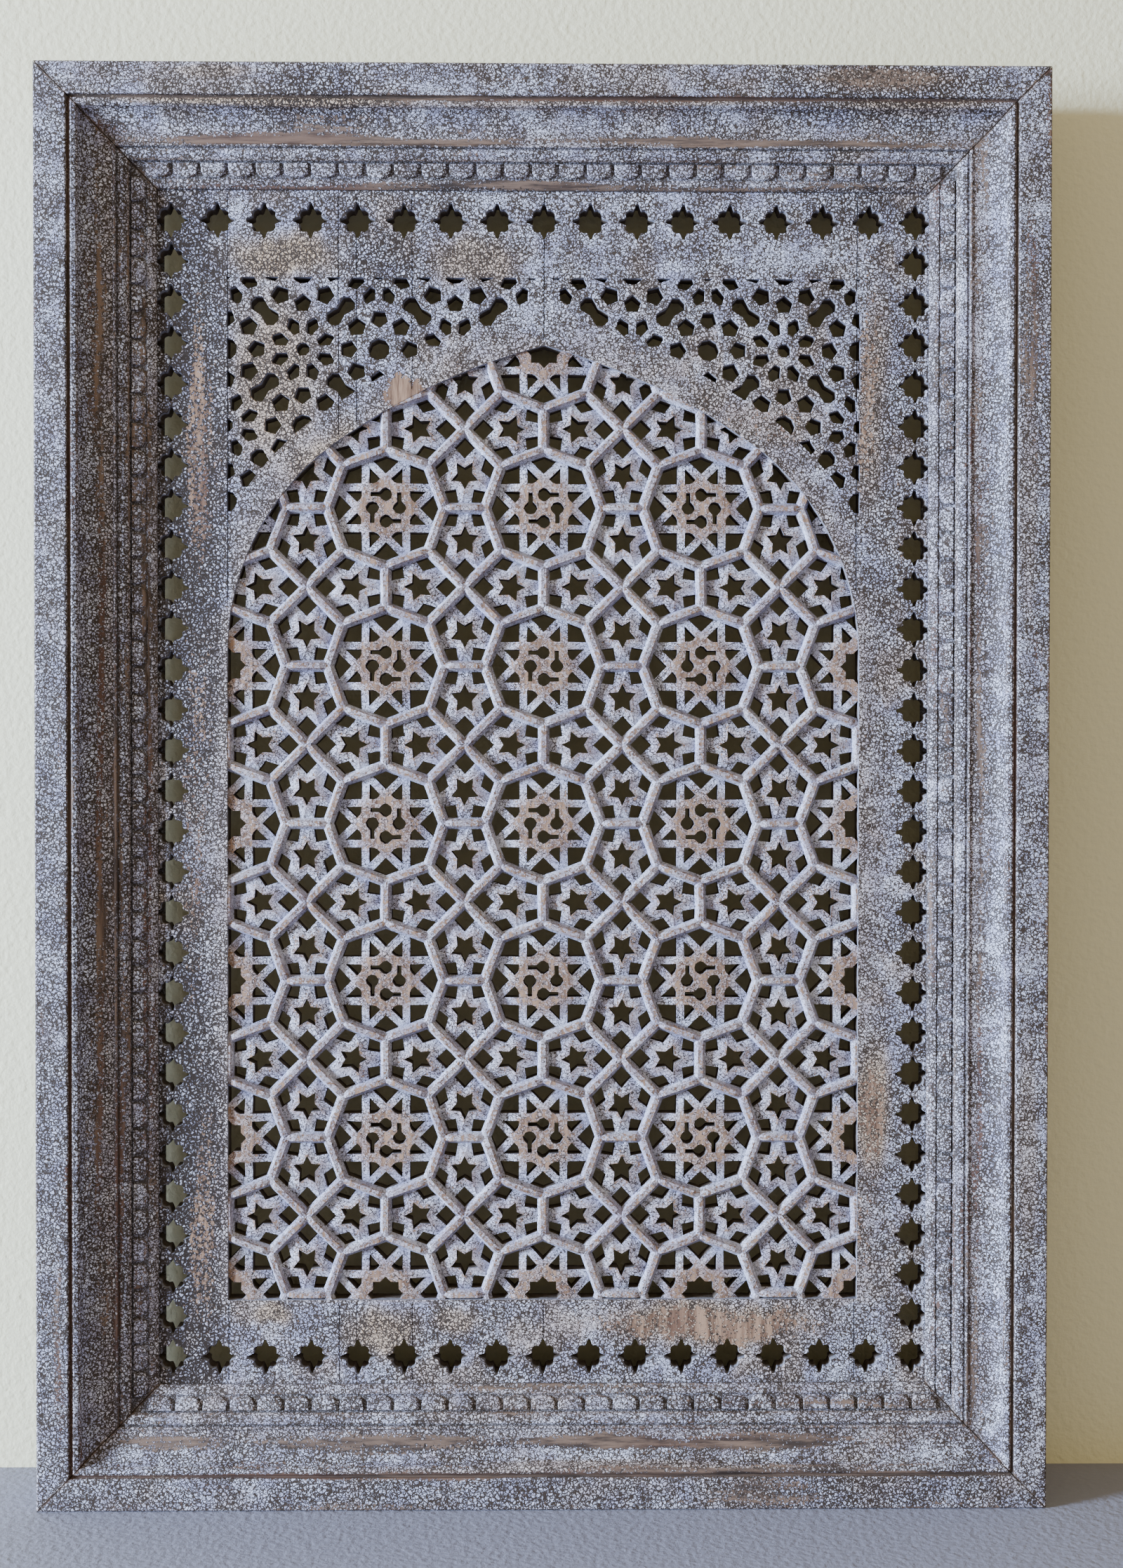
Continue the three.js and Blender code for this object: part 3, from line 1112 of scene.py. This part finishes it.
def crackFilm(tree, place, drifted, look):
    # Paint film between the cracks round its flakes and finer ones that wander
    shifted = disturbed(tree, place, place, paint["flakeBendSize"], paint["flakeBend"])
    inputs = {"Vector": shifted, "Scale": 1000 / paint["flake"]}
    flakes = addNode(tree, "TexVoronoi", inputs, "Distance", feature="DISTANCE_TO_EDGE")
    inputs = {"Vector": place, "Scale": 1000 / paint["worm"], "Detail": 1}
    inputs = {0: addNode(tree, "TexNoise", inputs), 1: 0.5}
    worms = addNode(tree, "Math", inputs, operation="SUBTRACT")
    worms = addNode(tree, "Math", {0: worms}, operation="ABSOLUTE")
    inputs = {"Vector": place, "Scale": 1000 / paint["crackPatch"], "Detail": 4, "Roughness": 0.7}
    patches = addNode(tree, "TexNoise", inputs)
    inputs = {"Value": patches, "From Min": 0.4, "From Max": 0.68, "To Max": 0.36}
    zones = addNode(tree, "MapRange", inputs, **smooth)
    inputs = {0: zones, 1: spotField(tree, drifted, look["cracked"])}
    zones = addNode(tree, "Math", inputs, operation="MAXIMUM")
    hairline = paint["hairline"] * look["crackle"]
    inputs = {"Value": patches, "From Min": 0.34, "From Max": 0.5,
              "To Min": 0.4 * hairline, "To Max": 1.1 * hairline}
    base = addNode(tree, "MapRange", inputs)
    inputs = {0: zones, 1: paint["flakeGap"] * look["crackle"], 2: base}
    width = addNode(tree, "Math", inputs, operation="MULTIPLY_ADD")
    share = addNode(tree, "Math", {0: flakes, 1: width}, operation="DIVIDE")
    small = addNode(tree, "MapRange", {"Value": share, "From Min": 0.3}, **smooth)
    inputs = {"Value": worms, "From Min": 0.2 * paint["wormGap"] * look["crackle"],
              "From Max": paint["wormGap"] * look["crackle"]}
    large = addNode(tree, "MapRange", inputs, **smooth)
    film = addNode(tree, "Math", {0: small, 1: large}, operation="MULTIPLY")
    return film, zones


def paintedWood(name, look):
    material, tree, shader = newMaterial(name, paint["roughness"])
    place = addNode(tree, "TexCoord", {}, "Object")
    wear = addNode(tree, "Attribute", {}, "Fac", attribute_name="wear")
    grime_and_shade = addNode(tree, "Attribute", {}, "Fac", attribute_name="grime_and_shade")
    along = addNode(tree, "Mapping", {"Vector": place, "Scale": look["grain"]})
    drifted = disturbed(tree, place, along, paint["spotEdge"], look["drift"])
    film, zones = crackFilm(tree, place, drifted, look)
    bareSpots = spotField(tree, drifted, look["bare"])

    # Paint colour, with beige where dust and varnish have stained it
    inputs = {"Vector": place, "Scale": 1000 / paint["tonePatch"], "Detail": 4, "Roughness": 0.6}
    share = addNode(tree, "MapRange", {"Value": addNode(tree, "TexNoise", inputs),
                                       "From Min": 0.36, "From Max": 0.64}, **smooth)
    tone = addNode(tree, "Mix", {0: share, 6: paint["light"], 7: paint["dark"]}, **asColour)
    inputs = {"Vector": drifted, "Scale": 1000 / paint["stainPatch"], "Detail": 4, "Roughness": 0.6}
    stain = addNode(tree, "MapRange", {"Value": addNode(tree, "TexNoise", inputs), "From Min": 0.46,
                                       "From Max": 0.66, "To Max": look["beige"]}, **smooth)
    stain = addNode(tree, "Math", {0: stain, 1: wear}, operation="MAXIMUM")
    inputs = {0: stain, 1: spotField(tree, drifted, look["stained"])}
    stain = addNode(tree, "Math", inputs, operation="MAXIMUM")
    tone = addNode(tree, "Mix", {0: stain, 6: tone, 7: look["stain"]}, **asColour)
    inputs = {"Vector": place, "Scale": 1000 / paint["grain"], "Detail": 2, "Roughness": 0.8}
    gritty = addNode(tree, "MapRange", {"Value": addNode(tree, "TexNoise", inputs), "From Min": 0.6,
                                        "From Max": 0.38, "To Max": look["grit"]}, **smooth)
    tone = addNode(tree, "Mix", {0: gritty, 6: tone, 7: paint["crack"]}, **asColour)

    # Wood with grain, redder in patches
    inputs = {"Vector": along, "Scale": 1000 / paint["woodFibre"], "Detail": 5, "Roughness": 0.7}
    fibres = addNode(tree, "TexNoise", inputs)
    share = addNode(tree, "MapRange", {"Value": fibres, "From Min": 0.35, "From Max": 0.65}, **smooth)
    wood = addNode(tree, "Mix", {0: share, 6: look["wood"][0], 7: look["wood"][1]}, **asColour)
    inputs = {"Vector": along, "Scale": 1000 / paint["redPatch"], "Detail": 2}
    share = addNode(tree, "MapRange", {"Value": addNode(tree, "TexNoise", inputs), "From Min": 0.45,
                                       "From Max": 0.65, "To Max": look["red"]}, **smooth)
    wood = addNode(tree, "Mix", {0: share, 6: wood, 7: paint["woodRed"]}, **asColour)

    # Paint lost flake by flake, by rubbing and along the grain
    loss = addNode(tree, "Math", {0: wear, 1: look["rubbed"], 2: bareSpots}, operation="MULTIPLY_ADD")
    inputs = {"Vector": along, "Scale": 1000 / paint["streak"], "Detail": 4, "Roughness": 0.6}
    streaks = addNode(tree, "MapRange", {"Value": addNode(tree, "TexNoise", inputs), "From Min": 0.45,
                                         "From Max": 0.75, "To Max": look["streaks"]}, **smooth)
    loss = addNode(tree, "Math", {0: loss, 1: streaks}, operation="ADD")
    loss = addNode(tree, "Math", {0: fibres, 1: 0.3, 2: loss}, operation="MULTIPLY_ADD")
    inputs = {"Vector": place, "Scale": 1000 / paint["chip"], "Detail": 3, "Roughness": 0.7}
    loss = addNode(tree, "Math", {0: loss, 1: addNode(tree, "TexNoise", inputs)}, operation="ADD")
    bare = addNode(tree, "MapRange", {"Value": loss, "From Min": 0.85, "From Max": 0.91}, **smooth)

    deep = addNode(tree, "Math", {0: zones, 1: 1.6, 2: 0.1}, operation="MULTIPLY_ADD", use_clamp=True)
    cracks = addNode(tree, "Mix", {0: deep, 6: paint["crack"], 7: paint["crackDeep"]}, **asColour)
    surface = addNode(tree, "Mix", {0: film, 6: cracks, 7: tone}, **asColour)
    surface = addNode(tree, "Mix", {0: bare, 6: surface, 7: wood}, **asColour)
    # Dirt with painted shade darkens the hollows, grooves and web ground
    dirtAndShade = addNode(tree, "Math", {0: grime_and_shade, 1: 0.7}, operation="MULTIPLY")
    surface = addNode(tree, "Mix", {0: dirtAndShade, 6: surface, 7: paint["grime_and_shade"]}, **asColour)
    tree.links.new(surface, shader.inputs["Base Color"])
    shader.inputs["Specular IOR Level"].default_value = 0.35
    painted = addNode(tree, "Math", {0: 1.0, 1: bare}, operation="SUBTRACT")
    painted = addNode(tree, "Math", {0: film, 1: painted}, operation="MULTIPLY")
    height = addNode(tree, "Math", {0: fibres, 1: 0.5, 2: painted}, operation="MULTIPLY_ADD")
    bump = addNode(tree, "Bump", {"Height": height, "Strength": 0.7, "Distance": 0.001})
    tree.links.new(bump, shader.inputs["Normal"])
    return material


def bareWall(name):
    # Sawn walls of the holes and the unpainted back: paint has run a little way in
    material, tree, shader = newMaterial(name, 0.85)
    place = addNode(tree, "TexCoord", {}, "Object")
    long = addNode(tree, "Mapping", {"Vector": place, "Scale": (1, 1, 0.15)})
    inputs = {"Vector": long, "Scale": 1000 / holeWall["sawMark"], "Detail": 5, "Roughness": 0.7}
    fibres = addNode(tree, "MapRange", {"Value": addNode(tree, "TexNoise", inputs), "From Min": 0.3,
                                        "From Max": 0.7}, **smooth)
    wood = addNode(tree, "Mix", {0: fibres, 6: holeWall["dark"], 7: holeWall["light"]}, **asColour)
    depth = addNode(tree, "SeparateXYZ", {"Vector": place}, "Y")
    inputs = {"Vector": place, "Scale": 1000 / holeWall["ragged"], "Detail": 2}
    inputs = {0: addNode(tree, "TexNoise", inputs), 1: 0.006, 2: depth}
    ragged = addNode(tree, "Math", inputs, operation="MULTIPLY_ADD")
    share = addNode(tree, "MapRange", {"Value": ragged, "From Min": holeWall["painted"],
                                       "From Max": holeWall["bare"]}, **smooth)
    surface = addNode(tree, "Mix", {0: share, 6: paint["onHoleWalls"], 7: wood}, **asColour)
    tree.links.new(surface, shader.inputs["Base Color"])
    bump = addNode(tree, "Bump", {"Height": fibres, "Strength": 0.4, "Distance": 0.0006})
    tree.links.new(bump, shader.inputs["Normal"])
    return material


upright = (1, 1, 0.1)
level = (0.1, 1, 1)
boardWood = ("#664A39", "#B08C72")
frameWood = ("#3B2F29", "#7F6757")
onBoard = {"drift": 34, "grain": upright, "wood": boardWood}
onLattice = {
    **onBoard, "beige": 0.1, "red": 0.2,
    "bare": boardBare[:1], "stained": boardStained[:1], "cracked": boardCracked[:1],
}
onFrame = {
    "crackle": 1.0, "rubbed": 0.32, "stain": paint["beige"], "grit": 0.4, "drift": 14,
    "wood": frameWood, "bare": frameBare, "stained": frameStained, "cracked": frameCracked,
}
boardLook = {
    **onBoard, "crackle": 1.0, "rubbed": 0.0, "beige": 0.6, "stain": paint["beige"],
    "streaks": 0.06, "red": 0.5, "grit": 0.35,
    "bare": boardBare, "stained": boardStained, "cracked": boardCracked,
}
ribLook = {
    **onLattice, "crackle": 0.25, "rubbed": 0.36, "stain": "#B4937A", "streaks": 0.06, "grit": 0.2,
}
webLook = {
    **onLattice, "crackle": 0.4, "rubbed": 0.32, "stain": "#B98F69", "streaks": 0.04, "grit": 0.15,
}
stileLook = {**onFrame, "grain": upright, "beige": 0.2, "streaks": 0.24, "red": 0.7}
railLook = {**onFrame, "grain": level, "beige": 0.45, "streaks": 0.2, "red": 0.5}
boardPaint = paintedWood("crackled_paint_on_board", boardLook)
ribPaint = paintedWood("rubbed_paint_on_ribs", ribLook)
webPaint = paintedWood("rubbed_paint_on_web", webLook)
stilePaint = paintedWood("crackled_paint_on_stiles", stileLook)
railPaint = paintedWood("crackled_paint_on_rails", railLook)
holeWood = bareWall("aged_wood_in_holes")


def coat(piece, materials):
    # Boolean results bring an empty slot, so the slots are made anew and the choices kept
    choices = [face.material_index for face in piece.data.polygons]
    piece.data.materials.clear()
    for material in materials:
        piece.data.materials.append(material)
    piece.data.polygons.foreach_set("material_index", choices)


coat(board, (boardPaint, ribPaint, webPaint, holeWood))
for name, rail in rails.items():
    coat(rail, [stilePaint if "stile" in name else railPaint])


# Pieces go to metres, in place, and stand for the CAD nodes

def fitPiece(piece, node):
    for vert in piece.data.vertices:
        vert.co *= mm
    piece.data.update()
    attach(piece, "root")
    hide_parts(node)


fitPiece(board, "jali_panel")
for name, rail in rails.items():
    fitPiece(rail, name)
print("pieces placed")


# Stage: a pale floor, a cream wall close behind the frame, soft light from the left

stage = {
    "wall": "#F2E8C2",
    "floor": "#8B8997",
    "wallGap": 0.034,
    "wallLean": 0.004,
    "reach": 6.0,
    "lens": 40.88,
    "cameraPlace": (-0.0028, -1.6735, -0.5790),
    "cameraTurn": (89.244, -0.063, -0.676),
    "keyPlace": (-6.1, -2.45, 0.0),
    "keySize": 1.7,
    "keyPower": 1935,
    "keyColour": (0.565, 0.73, 1.0),
    "fillStrength": 0.697,
    "fillColour": (1.0, 0.89, 0.62, 1),
}


def stagePlane(name, colour, corners, seeThrough):
    bm = bmesh.new()
    bm.faces.new([bm.verts.new(corner) for corner in corners])
    plane = newPiece(name, bm)
    material, tree, shader = newMaterial(name, 0.9)
    shader.inputs["Base Color"].default_value = linearColour(colour)
    place = addNode(tree, "TexCoord", {}, "Object")
    texture = addNode(tree, "TexNoise", {"Vector": place, "Scale": 1000 / 6, "Detail": 3})
    bump = addNode(tree, "Bump", {"Height": texture, "Strength": 0.8, "Distance": 0.0015})
    tree.links.new(bump, shader.inputs["Normal"])
    if seeThrough:
        # The wall shows only from its front, so the back of the panel can be looked at
        behind = addNode(tree, "NewGeometry", {}, "Backfacing")
        clear = addNode(tree, "BsdfTransparent", {})
        choice = addNode(tree, "MixShader", {0: behind, 1: shader.outputs["BSDF"], 2: clear})
        tree.links.new(choice, tree.nodes["Material Output"].inputs["Surface"])
    plane.data.materials.append(material)


floorZ = cadLow.z
wallY = cadHigh.y + stage["wallGap"]
reach = stage["reach"]
wallTop = wallY - stage["wallLean"] * (reach - floorZ)
stagePlane("floor", stage["floor"],
           [(-reach, -reach, floorZ), (reach, -reach, floorZ),
            (reach, reach, floorZ), (-reach, reach, floorZ)], False)
# The real panel leans back on its wall, so here the wall leans a little over an upright panel
stagePlane("wall", stage["wall"],
           [(-reach, wallY, floorZ), (reach, wallY, floorZ),
            (reach, wallTop, reach), (-reach, wallTop, reach)], True)


def aimedLight(name, place, size, power):
    light = bpy.data.lights.new(name, "AREA")
    light.shape = "DISK"
    light.size = size
    light.energy = power
    light.color = stage["keyColour"]
    lamp = bpy.data.objects.new(name, light)
    lamp.location = place
    target = Vector((0, 0, middleZ * mm))
    lamp.rotation_euler = (Vector(place) - target).to_track_quat("Z", "Y").to_euler()
    bpy.context.scene.collection.objects.link(lamp)


aimedLight("window_light", stage["keyPlace"], stage["keySize"], stage["keyPower"])
world = bpy.data.worlds.new("room")
world.use_nodes = True
world.node_tree.nodes["Background"].inputs["Color"].default_value = stage["fillColour"]
world.node_tree.nodes["Background"].inputs["Strength"].default_value = stage["fillStrength"]
bpy.context.scene.world = world

view = bpy.data.cameras.new("camera")
view.lens = stage["lens"]
camera = bpy.data.objects.new("camera", view)
camera.location = stage["cameraPlace"]
camera.rotation_euler = [math.radians(turn) for turn in stage["cameraTurn"]]
bpy.context.scene.collection.objects.link(camera)
bpy.context.scene.camera = camera
print("stage set")
